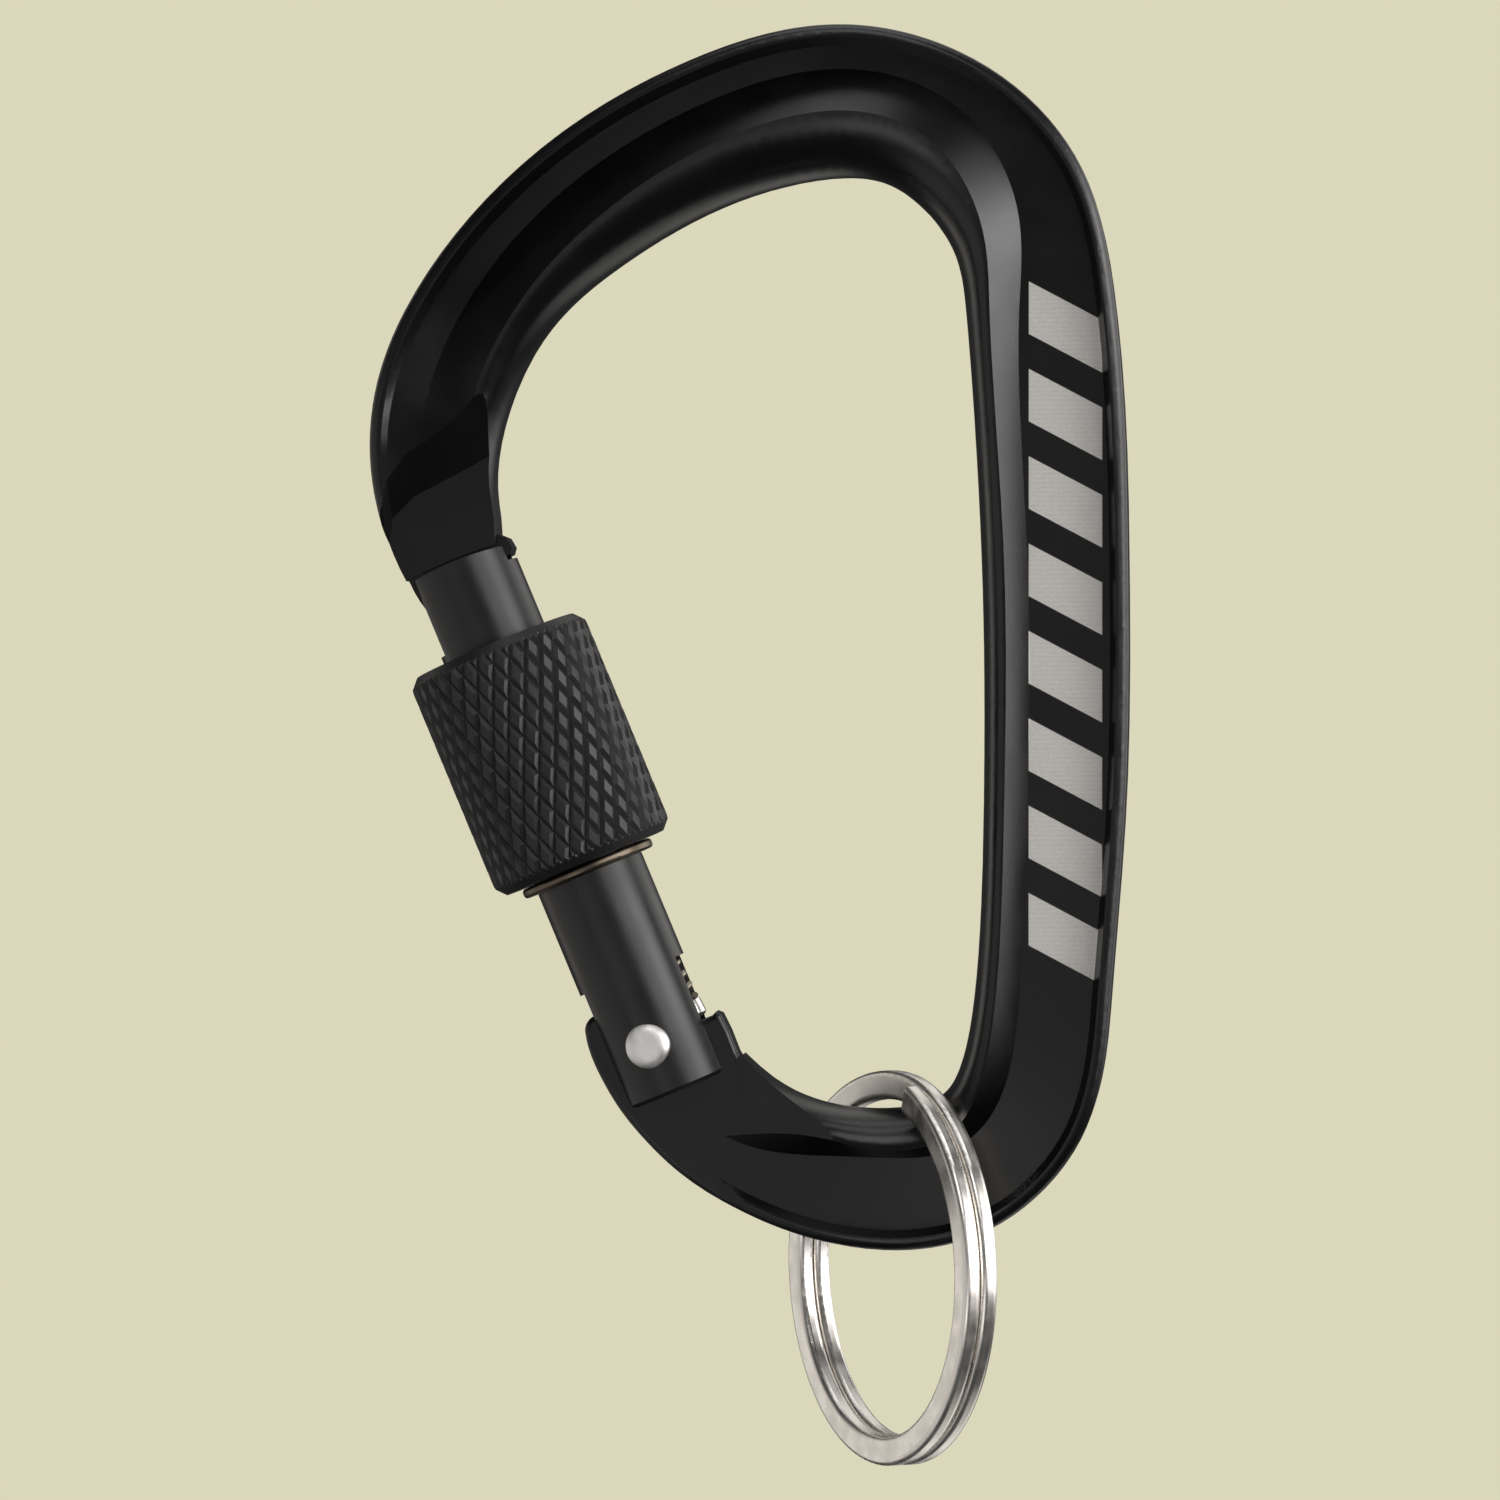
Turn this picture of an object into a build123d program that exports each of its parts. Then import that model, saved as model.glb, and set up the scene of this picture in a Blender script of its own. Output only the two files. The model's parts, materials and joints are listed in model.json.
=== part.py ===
from build123d import *
import math
import os

# A small D-shaped carabiner for keys, with a screw-locking gate and a split key ring.
# Millimetres. +Z is up, the straight spine stands on +X and the gate leans on -X.
# The origin is the strap seat: the highest point of the inside of the top bow,
# in the mid-plane of the frame. The front face looks along -Y.

# ---------------------------------------------------------------- driving dimensions
bar_half = 4.0              # half of the frame's full thickness, across Y
web_half = 1.65             # half thickness of the web beside the hinge
spine_half = 2.6            # half thickness of the web between the spine's pockets
rim_radius = 0.7            # rounding of the outer edge
nose_half = 2.5             # half thickness of the nose, inside the locking sleeve
tongue_half = 1.65          # half thickness of the nose tongue and of the hinge lug
lug_round = 0.35
rim = 0.85                  # width of the outer rim, and of the wall below it
wall = 0.4
past_face = bar_half + 0.3  # where the cutters that slope out of a face end
through = 12                # length of the cutters that go right across

pivot_x = -13.95            # the rivet, about which the gate swings
pivot_z = -57.1
gate_lean = 22.7            # degrees the gate leans to -X
axis_offset = 0.5           # gate axis, inward of the rivet

barrel_radius = 3.7         # below the sleeve
neck_radius = 3.6           # above the sleeve
collar_radius = 4.56        # threaded collar, under the sleeve
barrel_bottom = -3.5        # heights along the gate axis, from the rivet
barrel_top = 34.3           # this end is round about the rivet
barrel_chamfer = 0.25
collar_bottom = 13.4
collar_top = 26.6
slot_half = 1.75            # both clevis slots in the barrel
hinge_slot_top = 4.7
nose_slot_bottom = 28.9
tab_notch_bottom = 33.1     # lets the tongue's inner tab pass over the latch wall
nose_gap = 0.2              # between the barrel's top and the nose
latch_wall = 2.05           # the nose slot's inner wall, from the gate axis

rivet_radius = 0.9
rivet_clearance = 0.03
rivet_head_radius = 1.45
rivet_dome = 0.75           # rise of the domed heads
head_seat = 3.25            # the heads sit on small flats on the cheeks
seat_play = 0.05            # round a head, in its flat
seat_gap = 0.02             # under a head

stop_ring_height = 12.0     # lower face of the stop ring
stop_ring_thick = 0.65
stop_ring_radius = 4.6
stop_groove_radius = 3.3
stop_groove_play = 0.04     # above and below the stop ring
stop_ring_play = 0.06       # round the groove
stop_ring_split = 1.2       # width of the gap in the C
stop_ring_round = 0.25

sleeve_bottom = 12.72
sleeve_length = 15.55
sleeve_radius = 6.22
sleeve_bore = 4.65
sleeve_chamfer = 0.6
bore_chamfer = 0.3

spring_tilt = 5.0           # degrees the spring bore leans outward at its foot
spring_offset = 1.1         # the bore's middle, inward of the gate axis
spring_middle = 15.0        # the height at which it is that far inward
spring_bore = 1.4
spring_bore_top = 17.0
spring_coil = 1.1           # to the middle of the wire
spring_wire = 0.4
spring_turns = 18
spring_low = 1.5            # its lowest coil stands on the plunger's head
spring_play = 0.05          # above its highest coil
plunger_head = 1.3
plunger_stem = 0.8
plunger_low = 0.3
plunger_top = 4.2
plunger_round = 0.35
plunger_gap = 0.03          # between the head and the spring

ring_outer = 13.0
ring_inner = 11.1
coil_height = 1.18
coil_pitch = 1.24           # between the middles of the two coils
coil_round = 0.4
jog_low = -20               # where the crossover between the coils starts and ends,
jog_high = 50               # in degrees from the ring's top toward the back
jog_steps = 10
ring_turn = 30              # degrees the ring is turned about Z
ring_x = 1.8
ring_z = -71.86

# ---------------------------------------------------------------- helpers
gate_place = Location((pivot_x, 0, pivot_z), (0, -gate_lean, 0))
axis_shift = Location((axis_offset, 0, 0))


def upright_cylinder(radius, low, high):
    """A cylinder about Z between two heights."""
    return Pos(0, 0, (low + high) / 2) * Cylinder(radius, high - low)


def plate(outline, half):
    """A plate across Y, symmetric about the mid-plane, from an outline in X and Z."""
    return extrude(Face(Plane.XZ * outline), amount=half, both=True)


def polygon(points):
    """A closed outline with straight sides."""
    return Wire(Polyline(*points, close=True))


def tapered_cut(near, near_y, far, far_y):
    """Two mirrored cutters between an outline at near_y and a wider one at far_y."""
    near_face = Face(Plane.XZ.offset(-near_y) * polygon(near))
    far_face = Face(Plane.XZ.offset(-far_y) * polygon(far))
    cutter = loft([near_face, far_face], ruled=True)
    return cutter + mirror(cutter, about=Plane.XZ)


# ---------------------------------------------------------------- frame
# Ribs across the bar, from the nose round the top bow, down the spine and along the
# bottom to the hinge. Each is its outer end (x, z), its inner end (x, z), where the
# pocket floor ends and where the inner crest starts (both from the outer end), and the
# half thickness at the pocket floor.
ribs = [
    (-29.80, -26.95, -23.97, -24.25, 3.0, 5.3, 3.95),
    (-32.05, -20.80, -24.27, -20.30, 3.6, 6.7, 3.95),
    (-32.00, -14.20, -23.72, -16.30, 3.5, 6.5, 3.60),
    (-29.10, -7.20, -21.55, -11.20, 3.2, 6.3, 2.40),
    (-21.30, 1.60, -16.00, -5.75, 2.9, 6.0, 1.75),
    (-11.35, 7.50, -8.20, -1.50, 2.8, 5.7, 1.75),
    (-0.50, 9.82, -0.50, 0.00, 2.8, 5.7, 1.95),
    (8.40, 6.95, 3.25, -1.40, 3.3, 6.2, 2.25),
    (14.60, 0.10, 6.00, -4.90, 5.0, 7.6, 2.5),
    (16.60, -8.00, 6.85, -9.40, 6.3, 8.2, spine_half),
    (17.52, -25.0, 7.82, -25.0, 6.6, 8.1, spine_half),
    (17.35, -41.0, 7.97, -41.0, 6.4, 7.9, spine_half),
    (16.38, -54.0, 7.35, -54.0, 6.0, 7.5, spine_half),
    (14.30, -63.40, 5.95, -59.60, 5.9, 7.4, 2.5),
    (8.40, -69.10, 3.60, -61.10, 5.8, 6.7, 2.2),
    (0.40, -70.40, -0.50, -61.25, 6.0, 6.8, 1.85),
    (-8.50, -67.80, -5.20, -59.80, 4.2, 7.4, web_half),
    (-14.60, -63.20, -8.40, -57.10, 3.6, 7.7, web_half),
    (-18.00, -57.80, -9.50, -54.60, 3.6, 7.7, web_half),
]

# The rim is as high as the crest, and sinks to the web before it reaches the hinge.
rim_halves = [bar_half] * (len(ribs) - 5) + [3.97, 3.6, 2.1, 1.75, 1.75]


def rib_section(rib, rim_half):
    """The I-shaped section of the bar on one rib."""
    outer = Vector(rib[0], 0, rib[1])
    inner = Vector(rib[2], 0, rib[3])
    floor_end, crest, floor = rib[4:]
    across = (inner - outer).normalized()
    width = (inner - outer).length
    plane = Plane(origin=outer, x_dir=across, z_dir=across.cross(Vector(0, 1, 0)))
    top = [
        (rim_radius, rim_half),
        (rim, rim_half),
        (rim + wall, floor),
        (floor_end, floor),
        (crest, bar_half),
    ]
    bottom = [(s, -y) for s, y in reversed(top)]
    flat = rim_half - rim_radius
    round_top = math.sqrt(0.5) * rim_radius
    corner = (rim_radius - round_top, flat + round_top)
    edges = [Line((0, -flat), (0, flat)), ThreePointArc((0, flat), corner, top[0])]
    for start, end in zip(top, top[1:]):
        edges.append(Line(start, end))
    nose = width - crest
    edges.append(EllipticalCenterArc((crest, 0), nose, bar_half, 90, arc_size=-180))
    for start, end in zip(bottom, bottom[1:]):
        edges.append(Line(start, end))
    edges.append(ThreePointArc(bottom[-1], (corner[0], -corner[1]), (0, -flat)))
    return Face(plane * Wire(edges))


bar = loft([rib_section(*pair) for pair in zip(ribs, rim_halves)])

# The nose is thinner, so that the sleeve slides over it; a slanted face leads down to it.
bar -= tapered_cut(
    [(-20.5, -16.0), (-24.0, -18.0), (-25.5, -18.9), (-29.5, -21.0), (-30.9, -22.4),
     (-31.3, -24.8), (-34.0, -26.0), (-34.0, -32.0), (-20.5, -32.0)],
    nose_half,
    [(-20.5, -8.5), (-24.0, -12.2), (-26.4, -14.6), (-30.0, -17.6), (-31.2, -19.4),
     (-31.5, -20.8), (-34.0, -21.6), (-34.0, -32.0), (-20.5, -32.0)],
    past_face,
)

# The nose ends in a round about the rivet, clear of the barrel's top.
swing_clear = Cylinder(barrel_top + nose_gap, through, rotation=(90, 0, 0))
nose_region = Pos(-26, 0, -28) * Box(14, through, 12)
bar -= Pos(pivot_x, 0, pivot_z) * swing_clear & nose_region

# Nose tongue: outlines in gate coordinates, inward of the rivet and up the gate axis.
tongue_outline = Wire([
    Spline((-2.9, 37.5), (-2.95, 35.2), (-2.9, 33.4), (-2.65, 32.2), (-2.3, 31.3)),
    *Polyline(
        (-2.3, 31.3), (-0.9, 31.0), (0.9, 31.2), (1.9, 32.4), (2.3, 33.4), (3.9, 33.4),
        (4.2, 33.8), (4.1, 34.5), (3.5, 35.1), (3.5, 37.5), (-2.9, 37.5),
    ).edges(),
])
tongue = plate(tongue_outline, tongue_half)
# Hinge lug: a thin ear that the two cheeks of the barrel straddle.
lug_outline = Wire([
    Spline(
        (-8.0, -68.05), (-9.6, -67.22), (-12.2, -65.45), (-14.4, -63.35),
        (-16.0, -61.4), (-17.15, -59.5), (-18.0, -57.6), (-18.3, -56.3),
    ),
    ThreePointArc((-18.3, -56.3), (-18.15, -55.65), (-17.6, -55.2)),
    *Polyline(
        (-17.6, -55.2), (-16.8, -54.5), (-15.6, -54.0), (-14.5, -53.9),
        (-13.75, -54.4), (-13.2, -55.7), (-12.65, -56.35), (-9.95, -55.25),
        (-9.65, -54.95), (-9.3, -55.1), (-8.75, -56.2), (-8.2, -57.6),
        (-6.5, -60.5), (-6.0, -66.0), (-8.0, -68.05),
    ).edges(),
])
lug = plate(lug_outline, tongue_half)
lug = fillet(lug.faces().filter_by(Axis.Y).edges(), lug_round)

# The bar ends short of the barrel, and slopes down to the web beside the lug.
bar -= plate(
    polygon([(-25, -50), (-7.2, -50), (-7.2, -57.2), (-9.6, -59.2), (-9.6, -72),
             (-25, -72)]),
    through / 2,
)
bar -= tapered_cut(
    [(-8.4, -50), (-8.4, -58.8), (-9.1, -63.5), (-9.4, -65.6), (-9.4, -73), (-25, -73),
     (-25, -50)],
    web_half,
    [(-0.2, -50), (-0.2, -58.8), (-0.9, -63.5), (-1.2, -65.6), (-1.2, -73), (-25, -73),
     (-25, -50)],
    past_face,
)
rivet_hole = Cylinder(rivet_radius + rivet_clearance, through, rotation=(90, 0, 0))
frame = bar + gate_place * tongue + lug - Pos(pivot_x, 0, pivot_z) * rivet_hole

# ---------------------------------------------------------------- gate barrel
# Upright here, with the rivet at the origin; gate_place leans it into position.
body = upright_cylinder(barrel_radius, barrel_bottom, collar_bottom)
body = chamfer(body.edges().sort_by(Axis.Z)[0], barrel_chamfer)
body += upright_cylinder(collar_radius, collar_bottom, collar_top)
body += upright_cylinder(neck_radius, collar_top, barrel_top + 1)
groove_low = stop_ring_height - stop_groove_play
groove_high = stop_ring_height + stop_ring_thick + stop_groove_play
body -= upright_cylinder(through, groove_low, groove_high)
body += upright_cylinder(stop_groove_radius, groove_low, groove_high)
barrel = axis_shift * body & Cylinder(barrel_top, through, rotation=(90, 0, 0))


def slot(inner_x, low, high):
    """A cutter as wide as the clevis slots, from the outer side to inner_x."""
    middle = Pos(inner_x - through, 0, (low + high) / 2)
    return middle * Box(2 * through, 2 * slot_half, high - low)


barrel -= slot(through, -through, hinge_slot_top)
barrel -= slot(axis_offset + latch_wall, nose_slot_bottom, barrel_top + 5)
barrel -= slot(through, tab_notch_bottom, barrel_top + 5)
bore_place = Pos(axis_offset + spring_offset, 0, spring_middle)
bore_place = bore_place * Rot(0, -spring_tilt, 0) * Pos(0, 0, -spring_middle)
barrel -= bore_place * upright_cylinder(spring_bore, 0, spring_bore_top)
barrel -= rivet_hole
head_flat = Cylinder(rivet_head_radius + seat_play, 4, rotation=(90, 0, 0))
for side in (-1, 1):
    barrel -= Pos(0, side * (head_seat + 2), 0) * head_flat

# ---------------------------------------------------------------- rivet
rivet = Cylinder(rivet_radius, 2 * (head_seat + 5 * seat_gap), rotation=(90, 0, 0))
dome_radius = (rivet_head_radius**2 + rivet_dome**2) / (2 * rivet_dome)
dome = Pos(0, 0, rivet_dome - dome_radius) * Sphere(dome_radius)
dome &= upright_cylinder(dome_radius, 0, dome_radius)
head = dome.moved(Location((0, -head_seat - seat_gap, 0), (90, 0, 0)))
rivet += head + mirror(head, about=Plane.XZ)

# ---------------------------------------------------------------- spring and plunger
spring_rise = spring_bore_top - spring_play - spring_wire - spring_low
helix = Helix(spring_rise / spring_turns, spring_rise, spring_coil)
wire_face = Plane(helix @ 0, z_dir=helix % 0) * Circle(spring_wire / 2)
spring = sweep(wire_face, helix, is_frenet=True)
spring = bore_place * Pos(0, 0, spring_low + spring_wire / 2) * spring

plunger = upright_cylinder(plunger_head, plunger_low, spring_low - plunger_gap)
plunger = fillet(plunger.edges().sort_by(Axis.Z)[0], plunger_round)
plunger += upright_cylinder(plunger_stem, plunger_low + 0.5, plunger_top)
plunger = bore_place * plunger

# ---------------------------------------------------------------- stop ring
stop_ring_top = stop_ring_height + stop_ring_thick
stop_ring = upright_cylinder(stop_ring_radius, stop_ring_height, stop_ring_top)
stop_ring = fillet(stop_ring.edges().filter_by(GeomType.CIRCLE), stop_ring_round)
stop_ring -= upright_cylinder(stop_groove_radius + stop_ring_play, 0, 2 * stop_ring_top)
stop_ring -= Pos(0, 5, stop_ring_height) * Box(stop_ring_split, 10, 4)
stop_ring = axis_shift * stop_ring

# ---------------------------------------------------------------- locking sleeve
sleeve_top = sleeve_bottom + sleeve_length
sleeve = upright_cylinder(sleeve_radius, sleeve_bottom, sleeve_top)
sleeve = chamfer(sleeve.edges().filter_by(GeomType.CIRCLE), sleeve_chamfer)
sleeve -= upright_cylinder(sleeve_bore, 0, 2 * sleeve_top)
bore_rims = sleeve.edges().filter_by(GeomType.CIRCLE)
bore_rims = bore_rims.filter_by(lambda e: abs(e.radius - sleeve_bore) < 0.01)
sleeve = axis_shift * chamfer(bore_rims, bore_chamfer)

# ---------------------------------------------------------------- split key ring
# Two coils of flat wire, one over the other about Z, joined by a short crossover.
coil_mid = (ring_outer + ring_inner) / 2
wire_section = RectangleRounded(ring_outer - ring_inner, coil_height, coil_round)


def wire_face_at(angle, height):
    """The wire's section at an angle round the ring."""
    spin = Rot(0, 0, angle) * Pos(coil_mid, 0, height) * Rot(90, 0, 0)
    return spin * wire_section


def coil(height):
    """One flat coil, open over the crossover."""
    section = wire_face_at(jog_high, height).face()
    return revolve(section, Axis.Z, 360 - (jog_high - jog_low))


jog_faces = []
for step in range(jog_steps + 1):
    share = step / jog_steps
    rise = 0.5 - 0.5 * math.cos(math.pi * share)
    angle = jog_low + (jog_high - jog_low) * share
    height = coil_pitch * (rise - 0.5)
    jog_faces.append(wire_face_at(angle, height).face())
ring = coil(coil_pitch / 2) + coil(-coil_pitch / 2) + loft(jog_faces)

# The crossover sits at the top of the ring, and the ring's plane is upright.
ring = Rot(0, 0, ring_turn - 90) * Rot(90, 0, 0) * Rot(0, 0, 90) * ring
ring = Pos(ring_x, 0, ring_z) * ring

# ---------------------------------------------------------------- write the parts
nodes = {
    "frame": frame,
    "gate_barrel": gate_place * barrel,
    "hinge_rivet": gate_place * rivet,
    "gate_spring": gate_place * spring,
    "spring_plunger": gate_place * plunger,
    "stop_ring": gate_place * stop_ring,
    "lock_sleeve": gate_place * sleeve,
    "key_ring": ring,
}
os.makedirs("parts", exist_ok=True)
for name, solid in nodes.items():
    solids = solid.solids()
    print(name, len(solids), "solids", round(solid.volume, 2), "mm3")
    solid = solids[0] if len(solids) == 1 else solid
    export_step(solid, f"parts/{name}.step")
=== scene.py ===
"""A small black screw-gate carabiner with a split key ring, on a plain pale sweep."""
import json
import math

import bpy
import numpy as np
from mathutils import Matrix, Vector


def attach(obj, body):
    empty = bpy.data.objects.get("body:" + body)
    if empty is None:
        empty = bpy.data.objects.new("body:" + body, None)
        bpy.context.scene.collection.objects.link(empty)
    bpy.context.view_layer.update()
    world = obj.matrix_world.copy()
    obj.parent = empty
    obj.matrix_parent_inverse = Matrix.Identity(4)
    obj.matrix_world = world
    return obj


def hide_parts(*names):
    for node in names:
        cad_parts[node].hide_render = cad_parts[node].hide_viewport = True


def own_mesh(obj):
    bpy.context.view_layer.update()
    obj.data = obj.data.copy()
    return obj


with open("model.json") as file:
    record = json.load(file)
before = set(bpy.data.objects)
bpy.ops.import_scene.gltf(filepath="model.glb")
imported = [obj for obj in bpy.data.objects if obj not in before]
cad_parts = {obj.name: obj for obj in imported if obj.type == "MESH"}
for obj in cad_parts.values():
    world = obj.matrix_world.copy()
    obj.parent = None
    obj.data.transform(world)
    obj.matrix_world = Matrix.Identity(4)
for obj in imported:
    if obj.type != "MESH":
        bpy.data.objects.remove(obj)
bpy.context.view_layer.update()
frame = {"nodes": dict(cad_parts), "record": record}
nodes = frame["nodes"]
MM = 0.001

# ------------------------------------------------------------------ driving values
# The gate's own frame: the rivet, the way up the gate and the way inward from it.
joints = {joint["name"]: joint for joint in frame["record"]["behaviour"]["joints"]}
pivot = Vector(joints["gate_swing"]["pos_m"])
gate_up = Vector(joints["sleeve_travel"]["axis"]).normalized()
gate_in = Vector((gate_up.z, 0, -gate_up.x))
axis_point = Vector(joints["sleeve_turn"]["pos_m"])
axis_offset = (axis_point - pivot).dot(gate_in)

sleeve_bottom = 12.72 * MM          # up the gate axis, from the rivet
sleeve_length = 15.55 * MM
sleeve_radius = 6.22 * MM
sleeve_bore = 4.65 * MM

BLACK = (0.0022, 0.0022, 0.0026)
CREAM = (0.71, 0.68, 0.50)

etch_x = (11.0 * MM, 15.8 * MM)     # the etched bars, on the front pocket's floor
etch_y = (-2.75 * MM, -1.45 * MM)
etch_pitch = 5.72 * MM
etch_row = (-8 * etch_pitch, 0.0)
etch_share = 0.6
etch_slant = math.radians(28)
etch_hatch = 0.30 * MM
etch_edge = 0.03 * MM
etch_end_edge = 0.006               # as a share of the pitch
etch_roughness = 0.62
etch_dark = (0.62, 0.605, 0.575)
etch_light = (0.86, 0.84, 0.80)


# ------------------------------------------------------------------ material helpers
class Shader:
    """A node tree being built round one Principled shader."""

    def __init__(self, name):
        self.material = bpy.data.materials.new(name)
        self.material.use_nodes = True
        self.tree = self.material.node_tree
        self.principled = self.tree.nodes["Principled BSDF"]
        self.coords = self.add("ShaderNodeTexCoord").outputs["Object"]

    def add(self, kind, **settings):
        node = self.tree.nodes.new(kind)
        for key, value in settings.items():
            setattr(node, key, value)
        return node

    def link(self, source, target):
        if isinstance(source, (int, float)):
            target.default_value = source
        else:
            self.tree.links.new(source, target)

    def math(self, operation, first, second=0.0, third=None, clamp=False):
        node = self.add("ShaderNodeMath", operation=operation, use_clamp=clamp)
        self.link(first, node.inputs[0])
        self.link(second, node.inputs[1])
        if third is not None:
            self.link(third, node.inputs[2])
        return node.outputs[0]

    def axes(self):
        split = self.add("ShaderNodeSeparateXYZ")
        self.tree.links.new(self.coords, split.inputs[0])
        return split.outputs[0], split.outputs[1], split.outputs[2]

    def noise(self, scale, detail=3.0, roughness=0.5, stretch=(1, 1, 1), distortion=0.0):
        mapping = self.add("ShaderNodeMapping")
        mapping.inputs["Scale"].default_value = stretch
        self.tree.links.new(self.coords, mapping.inputs["Vector"])
        node = self.add("ShaderNodeTexNoise")
        self.tree.links.new(mapping.outputs[0], node.inputs["Vector"])
        node.inputs["Scale"].default_value = scale
        node.inputs["Detail"].default_value = detail
        node.inputs["Roughness"].default_value = roughness
        node.inputs["Distortion"].default_value = distortion
        return node.outputs["Fac"]

    def step(self, value, low, high, to_low=0.0, to_high=1.0):
        node = self.add("ShaderNodeMapRange", interpolation_type="SMOOTHSTEP")
        self.link(value, node.inputs["Value"])
        node.inputs["From Min"].default_value = low
        node.inputs["From Max"].default_value = high
        node.inputs["To Min"].default_value = to_low
        node.inputs["To Max"].default_value = to_high
        return node.outputs["Result"]

    def mix(self, factor, first, second):
        """Colours mixed by a factor."""
        node = self.add("ShaderNodeMix", data_type="RGBA")
        self.link(factor, node.inputs["Factor"])
        for value, socket in ((first, node.inputs["A"]), (second, node.inputs["B"])):
            if isinstance(value, tuple):
                socket.default_value = (*value, 1)
            else:
                self.tree.links.new(value, socket)
        return node.outputs["Result"]

    def set(self, **values):
        """Sets the Principled shader's inputs by name, with _ for a space."""
        for key, value in values.items():
            socket = self.principled.inputs[key.replace("_", " ")]
            if isinstance(value, tuple):
                socket.default_value = (*value, 1)
            else:
                self.link(value, socket)

    def bump(self, *layers):
        """Bumps stacked on each other: (height, distance in metres)."""
        normal = None
        for height, distance in layers:
            node = self.add("ShaderNodeBump")
            node.inputs["Distance"].default_value = distance
            self.tree.links.new(height, node.inputs["Height"])
            if normal is not None:
                self.tree.links.new(normal, node.inputs["Normal"])
            normal = node.outputs[0]
        self.tree.links.new(normal, self.principled.inputs["Normal"])


def anodised(name, colour, roughness, grain, gloss=0.5):
    """Black anodised aluminium: a dark metal with a faint mottle and a blasted grain."""
    shader = Shader(name)
    mottle = shader.noise(180, 4)
    lighter = tuple(1.35 * part for part in colour)
    shader.set(
        Base_Color=shader.mix(shader.step(mottle, 0.35, 0.7), colour, lighter),
        Roughness=shader.step(mottle, 0.3, 0.7, roughness - 0.03, roughness + 0.04),
        Specular_IOR_Level=gloss,
    )
    shader.bump((shader.noise(9000, 2), grain))
    return shader


def within(shader, value, low, high, edge):
    """1 between two values, 0 outside them, with a soft edge."""
    rise = shader.step(value, low - edge, low + edge)
    fall = shader.step(value, high - edge, high + edge, 1.0, 0.0)
    return shader.math("MULTIPLY", rise, fall)


def frame_material():
    """Anodised like the rest, with a row of plain slanted bars etched along the spine."""
    shader = anodised("anodised_frame", BLACK, 0.27, 0.000003)
    x, y, z = shader.axes()
    slanted = shader.math("MULTIPLY_ADD", x, math.tan(etch_slant), z)
    phase = shader.math("FRACT", shader.math("DIVIDE", slanted, etch_pitch))
    bars = within(shader, phase, 0.5 - etch_share / 2, 0.5 + etch_share / 2, etch_end_edge)
    for value, (low, high) in ((x, etch_x), (y, etch_y), (slanted, etch_row)):
        bars = shader.math("MULTIPLY", bars, within(shader, value, low, high, etch_edge))
    hatch = shader.math("SINE", shader.math("MULTIPLY", z, 2 * math.pi / etch_hatch))
    speckle = shader.noise(14000, 2)
    hatch_share = 0.10
    light = shader.math("MULTIPLY_ADD", hatch, hatch_share, shader.step(speckle, 0.3, 0.7, 0.25, 0.75))
    etched = shader.mix(light, etch_dark, etch_light)
    plain = shader.principled.inputs["Base Color"].links[0].from_socket
    rough = shader.principled.inputs["Roughness"].links[0].from_socket
    gap = shader.math("SUBTRACT", etch_roughness, rough)
    shader.set(
        Base_Color=shader.mix(bars, plain, etched),
        Roughness=shader.math("MULTIPLY_ADD", bars, gap, rough),
    )
    return shader.material


def metal(name, colour, roughness, bump=0.000002, scale=2500):
    """Bare or plated metal with faint wear; bump is in metres."""
    shader = Shader(name)
    wear = shader.noise(600, 4)
    shader.set(
        Base_Color=colour,
        Metallic=1.0,
        Roughness=shader.step(wear, 0.3, 0.7, roughness * 0.8, roughness * 1.25),
    )
    shader.bump((shader.noise(scale, 3), bump))
    return shader.material


# ------------------------------------------------------------------ pieces
def assign(obj, material):
    """Gives an object one material."""
    obj.data.materials.clear()
    obj.data.materials.append(material)


assign(nodes["frame"], frame_material())
assign(nodes["spring_plunger"], metal("plunger_steel", (0.86, 0.85, 0.83), 0.22))
assign(nodes["stop_ring"], metal("stop_ring_wire", (0.16, 0.13, 0.10), 0.35))
assign(nodes["key_ring"], metal("nickel", (0.94, 0.90, 0.845), 0.31, 0.0000008, 1500))


def gate_matrix():
    """From the gate's own upright coordinates, in metres, to the row frame."""
    origin = pivot + axis_offset * gate_in
    matrix = Matrix.Identity(4)
    for row in range(3):
        matrix[row][0] = gate_in[row]
        matrix[row][1] = (0, 1, 0)[row]
        matrix[row][2] = gate_up[row]
        matrix[row][3] = origin[row]
    return matrix


# ------------------------------------------------------------------ gate barrel
def round_normals(mesh):
    """Smooth shading on what is round about the gate axis, and flat on the rest."""
    origin = pivot + axis_offset * gate_in
    round_share = 0.97
    normals = []
    for face in mesh.polygons:
        face.use_smooth = True
        for index in face.vertices:
            out = mesh.vertices[index].co - origin
            out -= out.dot(gate_up) * gate_up
            out.normalize()
            normals.append(out if face.normal.dot(out) > round_share else face.normal.copy())
    mesh.normals_split_custom_set(normals)


def satin_barrel():
    """The gate barrel, shaded smooth. Its collar is plain, in spite of the piece's name."""
    mesh = nodes["gate_barrel"].data.copy()
    made = bpy.data.objects.new("threaded_barrel", mesh)
    bpy.context.collection.objects.link(made)
    round_normals(mesh)
    shader = anodised("anodised_barrel", (0.008, 0.0075, 0.0075), 0.34, 0.000005)
    assign(made, shader.material)
    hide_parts("gate_barrel")
    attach(made, "gate")


satin_barrel()


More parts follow.
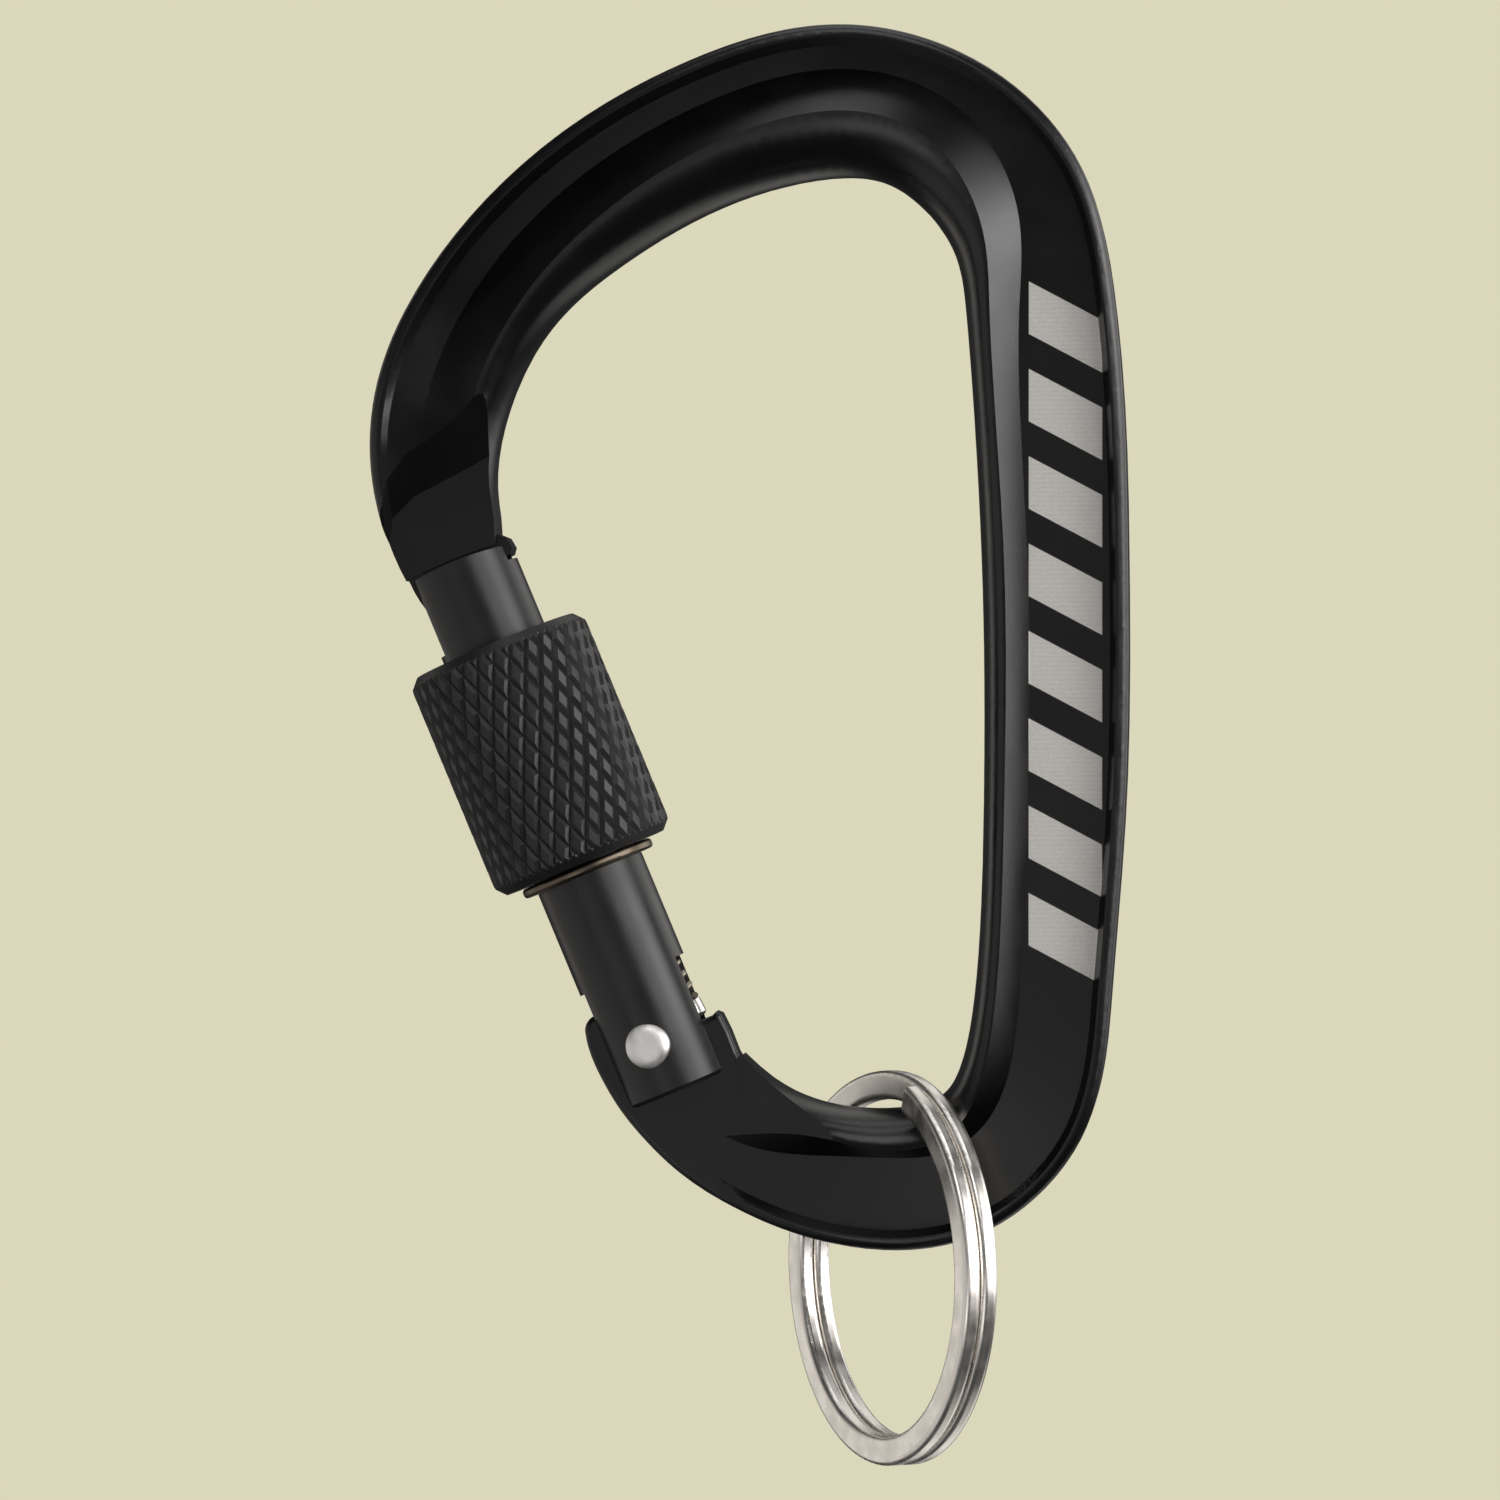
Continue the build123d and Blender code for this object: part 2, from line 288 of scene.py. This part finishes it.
# ------------------------------------------------------------------ gate spring
def gate_spring():
    """The spring in the barrel, carried with the gate at one length; the real one shortens as the gate
    opens.
    """
    made = bpy.data.objects.new("spring_coil", nodes["gate_spring"].data.copy())
    bpy.context.collection.objects.link(made)
    assign(made, metal("spring_wire", (0.42, 0.37, 0.29), 0.38))
    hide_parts("gate_spring")
    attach(made, "gate")
    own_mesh(made)


gate_spring()


# ------------------------------------------------------------------ peened rivet
def peened_rivet():
    """The hinge rivet, with hammered heads that fill the flats on the barrel's cheeks."""
    head_start = 3.3                # along the rivet, in mm, as the profile is
    crown_start = 3.5
    crown_radius = 1.3
    dent_share = 0.012
    tap_height = 0.02
    shank = [(0.0, 0.0), (0.9, 0.0), (0.9, 3.28)]
    head = [(1.44, 3.28), (1.49, 3.40), (1.48, 3.58), (1.40, 3.75), (1.24, 3.89),
            (1.0, 3.975), (0.7, 4.01), (0.35, 4.02)]
    half = shank[1:] + head
    profile = [(r, -y) for r, y in reversed(half)] + half[1:]
    sides = 64
    verts = []
    for r, y in profile:
        for k in range(sides):
            angle = 2 * math.pi * k / sides
            dent = 0.5 * math.sin(3 * angle + 0.8) + 0.35 * math.sin(5 * angle + 2.1)
            radius = r * (1 + dent_share * dent) if abs(y) > head_start else r
            tap = tap_height * math.sin(2.3 * r * math.cos(angle) + 1.7 * r * math.sin(angle))
            side = y + math.copysign(tap, y) if r < crown_radius and abs(y) > crown_start else y
            verts.append((radius * math.cos(angle), side, radius * math.sin(angle)))
    faces = []
    for row in range(len(profile) - 1):
        for k in range(sides):
            a, b = row * sides + k, row * sides + (k + 1) % sides
            faces.append((a, b, b + sides, a + sides))
    faces.append(tuple(reversed(range(sides))))
    faces.append(tuple(range((len(profile) - 1) * sides, len(profile) * sides)))
    mesh = bpy.data.meshes.new("peened_rivet")
    mesh.from_pydata([tuple(MM * c for c in v) for v in verts], [], faces)
    mesh.transform(Matrix.Translation(pivot))
    for face in mesh.polygons:
        face.use_smooth = True
    mesh.set_sharp_from_angle(angle=math.radians(50))
    made = bpy.data.objects.new("peened_rivet", mesh)
    bpy.context.collection.objects.link(made)
    assign(made, metal("rivet_steel", (0.97, 0.96, 0.94), 0.52, 0.00002, 900))
    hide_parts("hinge_rivet")
    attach(made, "gate")


peened_rivet()


# ------------------------------------------------------------------ knurled sleeve
knurl_starts = 34                   # grooves each way round the sleeve
knurl_angle = math.radians(24)      # their slant from the sleeve's axis
knurl_depth = 0.20 * MM
knurl_steps = 16                    # mesh steps from one groove to the next
knurl_flat = 0.50                   # share of the full height where the crests are worn flat
end_chamfer = 0.62 * MM
bore_chamfer = 0.30 * MM
chamfer_slope = 0.9


def groove_height(phase):
    """0 in a groove, 1 halfway between two."""
    return 1 - np.abs(2 * (phase % 1) - 1)


def knurled_sleeve():
    """The locking sleeve, with a cut diamond knurl that runs out at both chamfers."""
    columns = knurl_starts * knurl_steps
    pitch = 2 * math.pi * sleeve_radius / knurl_starts
    lead = pitch / math.tan(knurl_angle)
    count = round(sleeve_length / (lead / knurl_steps))
    heights = np.linspace(0, sleeve_length, count + 1)
    turns = np.arange(columns) / columns
    around, up = np.meshgrid(turns, np.arange(count + 1) / knurl_steps)
    crest = np.minimum(
        groove_height(knurl_starts * around + up),
        groove_height(knurl_starts * around - up),
    )
    crest = np.minimum(crest, knurl_flat) / knurl_flat
    radius = sleeve_radius - knurl_depth * (1 - crest)
    from_end = np.minimum(heights, sleeve_length - heights)[:, None]
    chamfer_radius = sleeve_radius - end_chamfer + from_end * chamfer_slope
    radius = np.minimum(radius, chamfer_radius)
    inner_low = [(sleeve_bore, bore_chamfer), (sleeve_bore + bore_chamfer, 0.0)]
    inner_high = [(r, sleeve_length - z) for r, z in reversed(inner_low)]
    rings = [(np.full(columns, r), np.full(columns, z)) for r, z in inner_low]
    rings += [(radius[k], np.full(columns, heights[k])) for k in range(count + 1)]
    rings += [(np.full(columns, r), np.full(columns, z)) for r, z in inner_high]
    angle = 2 * np.pi * turns
    verts = np.concatenate([
        np.stack([r * np.cos(angle), r * np.sin(angle), z + sleeve_bottom], axis=1)
        for r, z in rings
    ])
    faces = []
    smooth = []
    half_groove = knurl_steps // 2
    total = len(rings)
    for row in range(total):
        above = (row + 1) % total
        step = row - len(inner_low)
        knurled = 0 <= step < count
        for k in range(columns):
            n = (k + 1) % columns
            a, b = row * columns + k, row * columns + n
            c, d = above * columns + n, above * columns + k
            if not knurled:
                faces.append((a, b, c, d))
                smooth.append(True)
            elif (k + 1 + step) % 2 == 0 and (k - step) % half_groove != 0:
                faces += [(a, b, d), (b, c, d)]
                smooth += [False, False]
            else:
                faces += [(a, b, c), (a, c, d)]
                smooth += [False, False]
    mesh = bpy.data.meshes.new("knurled_sleeve")
    mesh.from_pydata(verts.tolist(), [], faces)
    mesh.polygons.foreach_set("use_smooth", smooth)
    mesh.transform(gate_matrix())
    mesh.update()
    obj = bpy.data.objects.new("knurled_sleeve", mesh)
    bpy.context.collection.objects.link(obj)
    assign(obj, anodised("anodised_sleeve", (0.010, 0.0095, 0.0095), 0.42, 0.000006).material)
    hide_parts("lock_sleeve")
    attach(obj, "lock_sleeve")


knurled_sleeve()


# ------------------------------------------------------------------ stage
def sweep_floor():
    """A pale floor that curves up into a wall all round, so no edge shows."""
    floor_z = -0.150
    flat_radius = 0.9
    curve = 0.7
    height = 1.6
    glow = 0.98                     # lights the sweep evenly, whatever the studio does
    profile = [(0.0, floor_z), (flat_radius * 0.5, floor_z), (flat_radius, floor_z)]
    for step in range(1, 17):
        angle = math.pi / 2 * step / 16
        profile.append((flat_radius + curve * math.sin(angle), floor_z + curve * (1 - math.cos(angle))))
    profile.append((flat_radius + curve, floor_z + height))
    sides = 96
    verts = [(r * math.cos(2 * math.pi * k / sides), r * math.sin(2 * math.pi * k / sides), z)
             for r, z in profile for k in range(sides)]
    faces = []
    for row in range(len(profile) - 1):
        for k in range(sides):
            n = (k + 1) % sides
            a = row * sides
            b = a + sides
            faces.append((a + k, a + n, b + n, b + k))
    mesh = bpy.data.meshes.new("sweep")
    mesh.from_pydata(verts, [], faces)
    for polygon in mesh.polygons:
        polygon.use_smooth = True
    obj = bpy.data.objects.new("sweep", mesh)
    bpy.context.collection.objects.link(obj)
    material = bpy.data.materials.new("pale_sweep")
    material.use_nodes = True
    shader = material.node_tree.nodes["Principled BSDF"]
    shader.inputs["Base Color"].default_value = (0.02, 0.02, 0.015, 1)
    shader.inputs["Roughness"].default_value = 1.0
    shader.inputs["Specular IOR Level"].default_value = 0.0
    shader.inputs["Emission Color"].default_value = (*CREAM, 1)
    shader.inputs["Emission Strength"].default_value = glow
    material.cycles.emission_sampling = "NONE"
    mesh.materials.append(material)
    obj.visible_glossy = False
    obj.visible_diffuse = False
    obj.visible_shadow = False


sweep_floor()

# Soft boxes: where each one is seen from the object, as degrees round from the front
# toward +X and degrees up, then its half width and half height, edge softness,
# strength and colour.
soft_boxes = [
    (50, 13, 25, 8, 6, 4.2, (1.0, 0.98, 0.97)),
    (76, 14, 20, 20, 8, 3.6, (1.0, 0.98, 0.97)),
    (120, 12, 26, 18, 12, 1.6, (1.0, 0.98, 0.96)),
    (-14, -21, 14, 9, 7, 1.7, (1.0, 0.98, 0.96)),
    (0, 45, 16, 13, 8, 2.4, (1.0, 1.0, 1.0)),
    (0, 80, 180, 12, 8, 1.5, (1.0, 1.0, 1.0)),
    (-76, -18, 36, 32, 14, 0.50, (1.0, 0.97, 0.94)),
    (-40, 3, 10, 7, 6, 0.35, (1.0, 0.98, 0.96)),
    (-124, 0, 8, 30, 5, 0.8, (1.0, 0.96, 0.90)),
    (170, 45, 25, 15, 10, 0.8, (1.0, 0.98, 0.94)),
    (145, -48, 40, 14, 10, 0.8, (1.0, 0.98, 0.94)),
    (0, -6, 18, 8, 6, 0.38, (1.0, 0.98, 0.96)),
]
fill = 0.05                          # the studio's dark walls


def studio_world():
    """A dark studio with soft boxes round it, as light that the object reflects."""
    world = bpy.data.worlds.new("studio")
    bpy.context.scene.world = world
    world.use_nodes = True
    tree = world.node_tree
    background = tree.nodes["Background"]

    def node(kind, **settings):
        made = tree.nodes.new(kind)
        for key, value in settings.items():
            setattr(made, key, value)
        return made

    def calc(operation, first, second=0.0):
        made = node("ShaderNodeMath", operation=operation)
        for value, socket in ((first, made.inputs[0]), (second, made.inputs[1])):
            if isinstance(value, (int, float)):
                socket.default_value = value
            else:
                tree.links.new(value, socket)
        return made.outputs[0]

    split = node("ShaderNodeSeparateXYZ")
    tree.links.new(node("ShaderNodeTexCoord").outputs["Generated"], split.inputs[0])
    x, y, z = split.outputs
    round_angle = calc("ARCTAN2", x, calc("MULTIPLY", y, -1))
    up_angle = calc("ARCSINE", z)
    total = None
    for turn, up, wide, high, soft, strength, colour in soft_boxes:
        away = calc("SUBTRACT", round_angle, math.radians(turn))
        wrap = node("ShaderNodeMath", operation="WRAP")
        tree.links.new(away, wrap.inputs[0])
        wrap.inputs[1].default_value = math.pi
        wrap.inputs[2].default_value = -math.pi
        wrapped = calc("ABSOLUTE", wrap.outputs[0])
        shares = []
        for distance, half in ((wrapped, wide), (calc("ABSOLUTE", calc(
                "SUBTRACT", up_angle, math.radians(up))), high)):
            edge = node("ShaderNodeMapRange", interpolation_type="SMOOTHSTEP")
            tree.links.new(distance, edge.inputs["Value"])
            edge.inputs["From Min"].default_value = math.radians(half - soft)
            edge.inputs["From Max"].default_value = math.radians(half + soft)
            edge.inputs["To Min"].default_value = 1.0
            edge.inputs["To Max"].default_value = 0.0
            shares.append(edge.outputs["Result"])
        share = calc("MULTIPLY", calc("MULTIPLY", *shares), strength)
        scale = node("ShaderNodeVectorMath", operation="SCALE")
        scale.inputs[0].default_value = colour
        tree.links.new(share, scale.inputs["Scale"])
        both = node("ShaderNodeVectorMath", operation="ADD")
        tree.links.new(scale.outputs[0], both.inputs[1])
        if total is None:
            both.inputs[0].default_value = (fill, fill, fill)
        else:
            tree.links.new(total, both.inputs[0])
        total = both.outputs[0]
    tree.links.new(total, background.inputs["Color"])
    background.inputs["Strength"].default_value = 1.0


studio_world()

# ------------------------------------------------------------------ camera
centre = Vector((-7.48, 0, -37.7)) * MM
camera_distance = 0.450
view_width = 99.1 * MM                # what the picture's width covers at the object
sensor_width = 36
camera_azimuth = math.radians(4.0)
camera_elevation = math.radians(0.5)
camera_data = bpy.data.cameras.new("camera")
camera_data.sensor_width = sensor_width
camera_data.lens = sensor_width * camera_distance / view_width
camera_data.clip_start = 0.01
camera = bpy.data.objects.new("camera", camera_data)
back = Vector((
    math.sin(camera_azimuth) * math.cos(camera_elevation),
    -math.cos(camera_azimuth) * math.cos(camera_elevation),
    math.sin(camera_elevation),
))
camera.location = centre + camera_distance * back
camera.rotation_euler = (-back).to_track_quat("-Z", "Y").to_euler()
bpy.context.collection.objects.link(camera)
bpy.context.scene.camera = camera
bpy.context.scene.view_settings.view_transform = "Standard"
